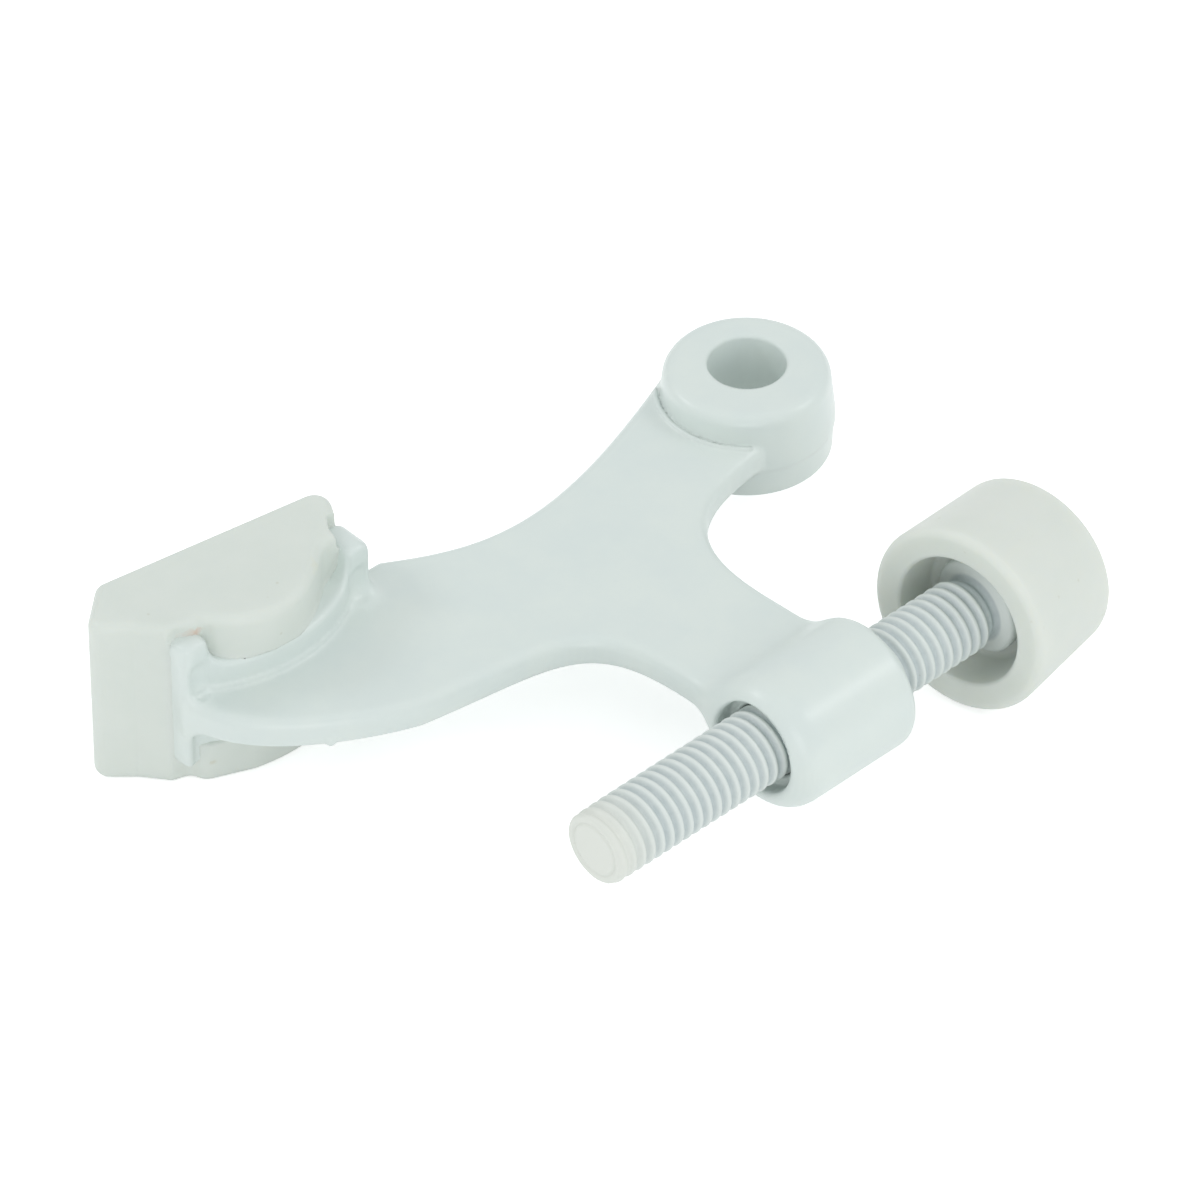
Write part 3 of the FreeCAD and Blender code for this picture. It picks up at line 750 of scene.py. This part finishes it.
def screw_mesh(material):
    """Threaded rod: rows of points that follow the helix, cut off square at the tip and at the neck."""
    neck_end = DISC_X
    neck_start = neck_end - NECK_LENGTH
    disc_end = neck_end + DISC_THICKNESS
    button = BUTTON_X
    button_end = button + BUTTON_THICKNESS
    around = 96
    per_turn = 14
    angle = math.tau * np.arange(around) / around
    turns = int((neck_start - ROD_TIP_X) / THREAD_PITCH) + 3
    row = np.arange(-per_turn, turns * per_turn)
    along = ROD_TIP_X + THREAD_PITCH * (row[:, None] / per_turn + angle[None] / math.tau)
    along = np.clip(along, ROD_TIP_X, neck_start)
    place = (along - ROD_TIP_X) / THREAD_PITCH - angle[None] / math.tau
    from_tip = along - ROD_TIP_X
    built_up = np.clip(1 - from_tip / (3.2 * THREAD_PITCH), 0, 1)
    radius = thread_radius(place, ROD_R)
    radius = radius + built_up * 0.55 * (ROD_R - 0.08 - radius)
    round_off = np.clip(1 - from_tip / TIP_RUN, 0, 1)
    radius = np.minimum(radius, TIP_FACE_R + (ROD_R - TIP_FACE_R) * np.sqrt(1 - round_off ** 2))
    fade = np.clip((neck_start - along) / THREAD_PITCH, 0, 1)
    radius = NECK_R + (radius - NECK_R) * (0.15 + 0.85 * fade)
    start = [(ROD_TIP_X + depth, r) for depth, r in TIP_FACE] + [(ROD_TIP_X, TIP_FACE_R)]
    end = [
        (neck_start, NECK_R), (neck_end, NECK_R),
        (neck_end, DISC_R - DISC_EDGE), (neck_end + DISC_EDGE, DISC_R),
        (disc_end - DISC_EDGE, DISC_R), (disc_end, DISC_R - DISC_EDGE), (disc_end, STUD_R),
        (button, STUD_R), (button, BUTTON_R),
        (button_end - BUTTON_EDGE, BUTTON_R), (button_end, BUTTON_R - BUTTON_EDGE), (button_end, 0.0),
    ]

    def ring(pair):
        return np.full((1, around), pair[0]), np.full((1, around), pair[1])

    x_rows, r_rows = zip(*([ring(p) for p in start] + [(along, radius)] + [ring(p) for p in end]))
    x = np.concatenate(x_rows)
    r = np.concatenate(r_rows)
    points = np.stack([x, -ROD_OFFSET + r * np.cos(angle), r * np.sin(angle)], axis=-1).reshape(-1, 3)
    return merged(mesh_piece("threaded_screw", points, grid_faces(len(x), around), material))


# Cap


def cap_outline():
    """Section of the cap from the middle of its closed end round to the bottom of its pocket."""
    pocket_end = CAP_POCKET + CAP_POCKET_LENGTH
    return rounded([
        (CAP_BACK, 0, 0), (CAP_BACK, CAP_END_R, CAP_END_EDGE_R), (-CAP_FRONT, CAP_MOUTH_R, CAP_MOUTH_EDGE_R),
        (CAP_DISH - CAP_FRONT, CAP_HOLE_R, CAP_HOLE_LIP_R), (-CAP_FLOOR, CAP_HOLE_FLOOR_R, 0.6),
        (-CAP_FLOOR, CAP_STUD_HOLE_R, 0.3), (CAP_POCKET, CAP_STUD_HOLE_R, 0.3),
        (CAP_POCKET, CAP_POCKET_R, 0.3), (pocket_end, CAP_POCKET_R, 0.3), (pocket_end, 0, 0),
    ], count=10)


def finely(points, longest=0.45):
    """The open outline with long straight stretches divided."""
    made = [points[0]]
    for a, b in zip(points[:-1], points[1:]):
        parts = max(1, int(np.ceil(np.linalg.norm(b - a) / longest)))
        for n in range(1, parts + 1):
            made.append(a + (b - a) * n / parts)
    return np.array(made)


def cap_mesh(material):
    outline = finely(cap_outline())
    around = 160
    angle = math.tau * np.arange(around) / around
    across = np.repeat(outline[:, :1], around, axis=1)
    r = np.maximum(outline[:, 1:], 0) * np.ones((1, around))
    y = r * np.cos(angle)
    z = r * np.sin(angle)
    droop = math.radians(CAP_DROOP_DEG)
    skew = math.radians(CAP_SKEW_DEG)
    ahead = across * math.cos(droop) + z * math.sin(droop)
    points = np.stack([
        CAP_PIVOT_X + ahead * math.cos(skew) - y * math.sin(skew),
        -ROD_OFFSET + ahead * math.sin(skew) + y * math.cos(skew),
        CAP_RISE - across * math.sin(droop) + z * math.cos(droop),
    ], axis=-1).reshape(-1, 3)
    return merged(mesh_piece("soft_cap", points, grid_faces(len(outline), around), material))


# Finishes


def new_material(name):
    material = bpy.data.materials.new(name)
    material.use_nodes = True
    nodes = material.node_tree.nodes
    nodes.clear()
    shader = nodes.new("ShaderNodeBsdfPrincipled")
    output = nodes.new("ShaderNodeOutputMaterial")
    material.node_tree.links.new(shader.outputs["BSDF"], output.inputs["Surface"])
    return material, shader


def node(tree, kind, **settings):
    made = tree.nodes.new(kind)
    for name, value in settings.items():
        setattr(made, name, value)
    return made


def effect(name, inputs, outputs):
    """Empty node group with named sockets, each given as (name, kind, default)."""
    tree = bpy.data.node_groups.new(name, "ShaderNodeTree")
    for label, kind, default in inputs:
        socket = tree.interface.new_socket(name=label, in_out="INPUT", socket_type="NodeSocket" + kind)
        if default is not None:
            socket.default_value = default
    for label, kind in outputs:
        tree.interface.new_socket(name=label, in_out="OUTPUT", socket_type="NodeSocket" + kind)
    return tree, tree.nodes.new("NodeGroupInput"), tree.nodes.new("NodeGroupOutput")


def cloudy_colour():
    """Two close shades mixed in soft clouds."""
    tree, given, made = effect(
        "Cloudy colour",
        [("Light", "Color", (1, 1, 1, 1)), ("Dark", "Color", (0, 0, 0, 1)), ("Size", "Float", 300.0)],
        [("Color", "Color")])
    place = node(tree, "ShaderNodeTexCoord")
    noise = node(tree, "ShaderNodeTexNoise", noise_dimensions="3D")
    noise.inputs["Detail"].default_value = 4.0
    noise.inputs["Roughness"].default_value = 0.6
    spread = node(tree, "ShaderNodeMapRange")
    spread.inputs["From Min"].default_value = 0.35
    spread.inputs["From Max"].default_value = 0.65
    mix = node(tree, "ShaderNodeMix", data_type="RGBA")
    link = tree.links.new
    link(place.outputs["Object"], noise.inputs["Vector"])
    link(given.outputs["Size"], noise.inputs["Scale"])
    link(noise.outputs["Fac"], spread.inputs["Value"])
    link(spread.outputs["Result"], mix.inputs["Factor"])
    link(given.outputs["Light"], mix.inputs["A"])
    link(given.outputs["Dark"], mix.inputs["B"])
    link(mix.outputs["Result"], made.inputs["Color"])
    return tree


def skin_ripple():
    """Height of a shallow ripple over a finer grain."""
    tree, given, made = effect(
        "Skin ripple",
        [("Ripple size", "Float", 500.0), ("Grain size", "Float", 4000.0), ("Grain share", "Float", 0.2)],
        [("Height", "Float")])
    place = node(tree, "ShaderNodeTexCoord")
    ripple = node(tree, "ShaderNodeTexNoise")
    ripple.inputs["Detail"].default_value = 1.0
    grain = node(tree, "ShaderNodeTexNoise")
    grain.inputs["Detail"].default_value = 2.0
    share = node(tree, "ShaderNodeMath", operation="MULTIPLY")
    add = node(tree, "ShaderNodeMath", operation="ADD")
    link = tree.links.new
    for noise, label in ((ripple, "Ripple size"), (grain, "Grain size")):
        link(place.outputs["Object"], noise.inputs["Vector"])
        link(given.outputs[label], noise.inputs["Scale"])
    link(grain.outputs["Fac"], share.inputs[0])
    link(given.outputs["Grain share"], share.inputs[1])
    link(ripple.outputs["Fac"], add.inputs[0])
    link(share.outputs[0], add.inputs[1])
    link(add.outputs[0], made.inputs["Height"])
    return tree


def dirt_specks():
    """Mask of scattered specks."""
    tree, given, made = effect(
        "Dirt specks",
        [("Size", "Float", 900.0), ("Amount", "Float", 0.1)],
        [("Mask", "Float")])
    place = node(tree, "ShaderNodeTexCoord")
    cells = node(tree, "ShaderNodeTexVoronoi", feature="F1")
    patch = node(tree, "ShaderNodeTexNoise")
    patch.inputs["Scale"].default_value = 260.0
    near = node(tree, "ShaderNodeMapRange")
    near.inputs["From Min"].default_value = 0.16
    near.inputs["From Max"].default_value = 0.06
    few = node(tree, "ShaderNodeMapRange")
    few.inputs["From Min"].default_value = 0.58
    few.inputs["From Max"].default_value = 0.66
    both = node(tree, "ShaderNodeMath", operation="MULTIPLY")
    amount = node(tree, "ShaderNodeMath", operation="MULTIPLY")
    link = tree.links.new
    link(place.outputs["Object"], cells.inputs["Vector"])
    link(place.outputs["Object"], patch.inputs["Vector"])
    link(given.outputs["Size"], cells.inputs["Scale"])
    link(cells.outputs["Distance"], near.inputs["Value"])
    link(patch.outputs["Fac"], few.inputs["Value"])
    link(near.outputs["Result"], both.inputs[0])
    link(few.outputs["Result"], both.inputs[1])
    link(both.outputs[0], amount.inputs[0])
    link(given.outputs["Amount"], amount.inputs[1])
    link(amount.outputs[0], made.inputs["Mask"])
    return tree


def stain_streak():
    """Mask of a short broken streak between two points of the object, given in metres."""
    tree, given, made = effect(
        "Stain streak",
        [("From", "Vector", None), ("To", "Vector", None), ("Width", "Float", 0.0004),
         ("Amount", "Float", 0.5)],
        [("Mask", "Float")])
    place = node(tree, "ShaderNodeTexCoord")
    reach = node(tree, "ShaderNodeVectorMath", operation="SUBTRACT")
    run = node(tree, "ShaderNodeVectorMath", operation="SUBTRACT")
    along = node(tree, "ShaderNodeVectorMath", operation="DOT_PRODUCT")
    whole = node(tree, "ShaderNodeVectorMath", operation="DOT_PRODUCT")
    share = node(tree, "ShaderNodeMath", operation="DIVIDE", use_clamp=True)
    nearest = node(tree, "ShaderNodeVectorMath", operation="SCALE")
    apart = node(tree, "ShaderNodeVectorMath", operation="DISTANCE")
    ragged = node(tree, "ShaderNodeTexNoise")
    ragged.inputs["Scale"].default_value = 1600.0
    ragged.inputs["Detail"].default_value = 3.0
    wander = node(tree, "ShaderNodeMath", operation="MULTIPLY")
    wander.inputs[1].default_value = 2.2
    width = node(tree, "ShaderNodeMath", operation="MULTIPLY")
    close = node(tree, "ShaderNodeMath", operation="DIVIDE")
    inside = node(tree, "ShaderNodeMath", operation="SUBTRACT", use_clamp=True)
    inside.inputs[0].default_value = 1.0
    amount = node(tree, "ShaderNodeMath", operation="MULTIPLY")
    link = tree.links.new
    link(place.outputs["Object"], reach.inputs[0])
    link(given.outputs["From"], reach.inputs[1])
    link(given.outputs["To"], run.inputs[0])
    link(given.outputs["From"], run.inputs[1])
    link(reach.outputs["Vector"], along.inputs[0])
    link(run.outputs["Vector"], along.inputs[1])
    link(run.outputs["Vector"], whole.inputs[0])
    link(run.outputs["Vector"], whole.inputs[1])
    link(along.outputs["Value"], share.inputs[0])
    link(whole.outputs["Value"], share.inputs[1])
    link(run.outputs["Vector"], nearest.inputs[0])
    link(share.outputs[0], nearest.inputs["Scale"])
    link(nearest.outputs["Vector"], apart.inputs[0])
    link(reach.outputs["Vector"], apart.inputs[1])
    link(place.outputs["Object"], ragged.inputs["Vector"])
    link(ragged.outputs["Fac"], wander.inputs[0])
    link(wander.outputs[0], width.inputs[0])
    link(given.outputs["Width"], width.inputs[1])
    link(apart.outputs["Value"], close.inputs[0])
    link(width.outputs[0], close.inputs[1])
    link(close.outputs[0], inside.inputs[1])
    link(inside.outputs[0], amount.inputs[0])
    link(given.outputs["Amount"], amount.inputs[1])
    link(amount.outputs[0], made.inputs["Mask"])
    return tree


CLOUDS = cloudy_colour()
STREAK = stain_streak()
RIPPLE = skin_ripple()
SPECKS = dirt_specks()


def placed(material, tree, **values):
    made = material.node_tree.nodes.new("ShaderNodeGroup")
    made.node_tree = tree
    for name, value in values.items():
        made.inputs[name.replace("_", " ")].default_value = value
    return made


def add_bump(material, shader, height, strength, distance):
    bump = node(material.node_tree, "ShaderNodeBump")
    bump.inputs["Strength"].default_value = strength
    bump.inputs["Distance"].default_value = distance
    material.node_tree.links.new(height, bump.inputs["Height"])
    material.node_tree.links.new(bump.outputs["Normal"], shader.inputs["Normal"])


def enamel():
    """Glossy white enamel over a casting."""
    material, shader = new_material("white_enamel")
    link = material.node_tree.links.new
    clouds = placed(material, CLOUDS, Light=(0.70, 0.765, 0.73, 1), Dark=(0.675, 0.745, 0.72, 1), Size=160.0)
    ripple = placed(material, RIPPLE, Ripple_size=420.0, Grain_size=2600.0, Grain_share=0.12)
    link(clouds.outputs["Color"], shader.inputs["Base Color"])
    shader.inputs["Roughness"].default_value = 0.42
    shader.inputs["Coat Weight"].default_value = 0.22
    shader.inputs["Coat Roughness"].default_value = 0.2
    add_bump(material, shader, ripple.outputs["Height"], 0.12, 0.00012)
    return material


def rubber(name, light, dark, roughness, soft=0.12, stains=()):
    """Soft white moulding with a satin skin, and stains given as (from, to, width, amount, colour)."""
    material, shader = new_material(name)
    link = material.node_tree.links.new
    clouds = placed(material, CLOUDS, Light=light, Dark=dark, Size=140.0)
    specks = placed(material, SPECKS, Size=700.0, Amount=0.25)
    ripple = placed(material, RIPPLE, Ripple_size=300.0, Grain_size=3200.0, Grain_share=0.2)
    dirt = node(material.node_tree, "ShaderNodeMix", data_type="RGBA")
    dirt.inputs["B"].default_value = (0.42, 0.40, 0.26, 1)
    link(clouds.outputs["Color"], dirt.inputs["A"])
    link(specks.outputs["Mask"], dirt.inputs["Factor"])
    colour = dirt.outputs["Result"]
    for start, end, width, amount, tint in stains:
        streak = placed(material, STREAK, From=start, To=end, Width=width, Amount=amount)
        tinted = node(material.node_tree, "ShaderNodeMix", data_type="RGBA")
        tinted.inputs["B"].default_value = tint
        link(colour, tinted.inputs["A"])
        link(streak.outputs["Mask"], tinted.inputs["Factor"])
        colour = tinted.outputs["Result"]
    link(colour, shader.inputs["Base Color"])
    shader.inputs["Roughness"].default_value = roughness
    shader.inputs["Subsurface Weight"].default_value = soft
    shader.inputs["Subsurface Radius"].default_value = (0.0024, 0.0022, 0.0018)
    shader.inputs["Subsurface Scale"].default_value = 1.0
    add_bump(material, shader, ripple.outputs["Height"], 0.15, 0.00012)
    return material


def screw_paint():
    """Thin enamel on the thread: pale crests and darker bluish grey roots, where the bluish grey is the
    screw's own paint and the extra darkness is painted shade in the thread roots, with a creamy build-up at
    the tip.
    """
    material, shader = new_material("screw_enamel")
    tree = material.node_tree
    link = tree.links.new
    place = node(tree, "ShaderNodeTexCoord")
    split = node(tree, "ShaderNodeSeparateXYZ")
    link(place.outputs["Object"], split.inputs["Vector"])
    across = node(tree, "ShaderNodeMath", operation="ADD")
    across.inputs[1].default_value = ROD_OFFSET * MM
    link(split.outputs["Y"], across.inputs[0])
    flat = node(tree, "ShaderNodeCombineXYZ")
    link(across.outputs[0], flat.inputs["X"])
    link(split.outputs["Z"], flat.inputs["Y"])
    length = node(tree, "ShaderNodeVectorMath", operation="LENGTH")
    link(flat.outputs["Vector"], length.inputs[0])
    crest = node(tree, "ShaderNodeMapRange")
    crest.inputs["From Min"].default_value = (ROD_R - 0.40) * MM
    crest.inputs["From Max"].default_value = (ROD_R - 0.05) * MM
    link(length.outputs["Value"], crest.inputs["Value"])
    tip = node(tree, "ShaderNodeMapRange")
    tip.inputs["From Min"].default_value = (ROD_TIP_X + 6.0) * MM
    tip.inputs["From Max"].default_value = (ROD_TIP_X + 1.0) * MM
    link(split.outputs["X"], tip.inputs["Value"])
    # Colour of the thread roots: the screw's bluish grey paint, darkened as painted shade where the roots lie
    # in the crests' shadow.
    shaded_root = placed(material, CLOUDS, Light=(0.55, 0.61, 0.61, 1), Dark=(0.49, 0.555, 0.56, 1), Size=900.0)
    shade = node(tree, "ShaderNodeMix", data_type="RGBA")
    shade.inputs["B"].default_value = (0.70, 0.75, 0.725, 1)
    link(crest.outputs["Result"], shade.inputs["Factor"])
    link(shaded_root.outputs["Color"], shade.inputs["A"])
    cream = node(tree, "ShaderNodeMix", data_type="RGBA")
    cream.inputs["B"].default_value = (0.72, 0.745, 0.69, 1)
    link(tip.outputs["Result"], cream.inputs["Factor"])
    link(shade.outputs["Result"], cream.inputs["A"])
    specks = placed(material, SPECKS, Size=1500.0, Amount=0.35)
    dirt = node(tree, "ShaderNodeMix", data_type="RGBA")
    dirt.inputs["B"].default_value = (0.34, 0.33, 0.28, 1)
    link(specks.outputs["Mask"], dirt.inputs["Factor"])
    link(cream.outputs["Result"], dirt.inputs["A"])
    link(dirt.outputs["Result"], shader.inputs["Base Color"])
    shader.inputs["Roughness"].default_value = 0.42
    ripple = placed(material, RIPPLE, Ripple_size=1500.0, Grain_size=6000.0, Grain_share=0.5)
    add_bump(material, shader, ripple.outputs["Height"], 0.35, 0.00006)
    return material


RUST = (0.62, 0.36, 0.24, 1)
GRIME = (0.44, 0.36, 0.16, 1)
YELLOWED = (0.70, 0.70, 0.52, 1)


def pad_stains():
    """Rust above the left ear, grime on the lobe under the flange, and yellowing by the right ear."""
    over_ear = [(-72.8, 5.7, 8.7), (-70.9, 4.0, 8.8), (-70.0, 2.6, 8.7)]
    on_lobe = [(-70.9, 2.1, -7.5), (-69.2, 0.8, -7.6), (-67.2, 0.2, -7.2)]
    by_right_ear = [(-56.2, 2.0, 10.2), (-55.2, 1.0, 10.2)]
    made = []
    for path, width, amount, tint in (
            (over_ear, 0.6, 0.4, RUST), (on_lobe, 0.45, 0.6, GRIME), (by_right_ear, 1.3, 0.5, YELLOWED)):
        for start, end in zip(path[:-1], path[1:]):
            made.append((tuple(v * MM for v in start), tuple(v * MM for v in end), width * MM, amount, tint))
    return made


# Dressed pieces


def dress():
    """Make the four pieces, each on its body and in place of its solid."""
    room = 0.3
    cell = 0.28
    pad_cell = 0.22
    bracket_skin = skin_of(bracket_field, BRACKET_LOW - room, BRACKET_HIGH + room, cell)
    bracket = mesh_piece("cast_bracket", *bracket_skin, enamel())
    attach(bracket, "casting")
    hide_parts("bracket")

    pad_rubber = rubber("pad_rubber", (0.695, 0.74, 0.69, 1), (0.67, 0.72, 0.67, 1), 0.5, stains=pad_stains())
    pad_skin = skin_of(pad_field, PAD_LOW - room, PAD_HIGH + room, pad_cell)
    pad = mesh_piece("soft_pad", *pad_skin, pad_rubber)
    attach(pad, "casting")
    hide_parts("wall_pad")

    screw = screw_mesh(screw_paint())
    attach(screw, "screw")
    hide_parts("adjusting_rod")

    cap = cap_mesh(rubber("cap_rubber", (0.71, 0.745, 0.695, 1), (0.69, 0.73, 0.68, 1), 0.5, soft=0.5))
    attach(cap, "bumper")
    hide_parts("bumper_cap")


# Stage


def floor():
    """Pale floor that reads as plain white to the camera and still takes the soft shadow."""
    size = 3.0
    mesh = bpy.data.meshes.new("floor")
    corners = [(-size, -size, 0), (size, -size, 0), (size, size, 0), (-size, size, 0)]
    mesh.from_pydata(corners, [], [(0, 1, 2, 3)])
    plane = bpy.data.objects.new("floor", mesh)
    plane.location = (0, 0, FLOOR_Z * MM)
    bpy.context.scene.collection.objects.link(plane)
    material = bpy.data.materials.new("floor_white")
    material.use_nodes = True
    tree = material.node_tree
    tree.nodes.clear()
    link = tree.links.new
    output = node(tree, "ShaderNodeOutputMaterial")
    matt = node(tree, "ShaderNodeBsdfDiffuse")
    matt.inputs["Color"].default_value = (0.90, 0.905, 0.905, 1)
    glow = node(tree, "ShaderNodeEmission")
    path = node(tree, "ShaderNodeLightPath")
    seen = node(tree, "ShaderNodeMath", operation="ADD")
    seen_more = node(tree, "ShaderNodeMath", operation="ADD", use_clamp=True)
    strength = node(tree, "ShaderNodeMath", operation="MULTIPLY")
    strength.inputs[1].default_value = 0.52
    add = node(tree, "ShaderNodeAddShader")
    link(path.outputs["Is Camera Ray"], seen.inputs[0])
    link(path.outputs["Is Glossy Ray"], seen.inputs[1])
    link(seen.outputs[0], seen_more.inputs[0])
    link(path.outputs["Is Transmission Ray"], seen_more.inputs[1])
    link(seen_more.outputs[0], strength.inputs[0])
    link(strength.outputs[0], glow.inputs["Strength"])
    link(matt.outputs["BSDF"], add.inputs[0])
    link(glow.outputs["Emission"], add.inputs[1])
    link(add.outputs["Shader"], output.inputs["Surface"])
    mesh.materials.append(material)


def world():
    made = bpy.data.worlds.new("studio")
    made.use_nodes = True
    tree = made.node_tree
    tree.nodes.clear()
    link = tree.links.new
    output = node(tree, "ShaderNodeOutputWorld")
    path = node(tree, "ShaderNodeLightPath")
    backdrop = node(tree, "ShaderNodeBackground")
    backdrop.inputs["Color"].default_value = (1, 1, 1, 1)
    fill = node(tree, "ShaderNodeBackground")
    fill.inputs["Color"].default_value = (0.97, 0.99, 1.0, 1)
    fill.inputs["Strength"].default_value = 0.80
    mix = node(tree, "ShaderNodeMixShader")
    link(path.outputs["Is Camera Ray"], mix.inputs["Fac"])
    link(fill.outputs["Background"], mix.inputs[1])
    link(backdrop.outputs["Background"], mix.inputs[2])
    link(mix.outputs["Shader"], output.inputs["Surface"])
    bpy.context.scene.world = made


def soft_box(name, place, size, power, colour=(1, 1, 1)):
    """Square lamp that looks at the middle of the object."""
    lamp = bpy.data.lights.new(name, "AREA")
    lamp.shape = "SQUARE"
    lamp.size = size
    lamp.energy = power
    lamp.color = colour
    made = bpy.data.objects.new(name, lamp)
    made.location = place
    aim = np.array([-0.035, -0.018, 0.0])
    made.rotation_euler = Vector(aim - np.array(place)).to_track_quat("-Z", "Y").to_euler()
    bpy.context.scene.collection.objects.link(made)


def lights():
    soft_box("left_box", (-0.40, 0.50, 0.49), 0.22, 0.8)
    soft_box("right_box", (0.45, -0.42, 0.49), 0.22, 0.8)
    soft_box("front_box", (-0.60, -0.70, 0.30), 0.5, 1.4)


def camera():
    """Long lens from the photograph's side."""
    data = bpy.data.cameras.new("camera")
    data.sensor_width = 36.0
    data.lens = 300.1
    data.clip_end = 20.0
    made = bpy.data.objects.new("camera", data)
    made.location = (-0.54365, -0.5568, 0.6607)
    made.rotation_euler = (math.radians(48.514), 0, math.radians(-43.216))
    bpy.context.scene.collection.objects.link(made)
    bpy.context.scene.camera = made


dress()
floor()
world()
lights()
camera()
bpy.context.scene.view_settings.view_transform = "Standard"
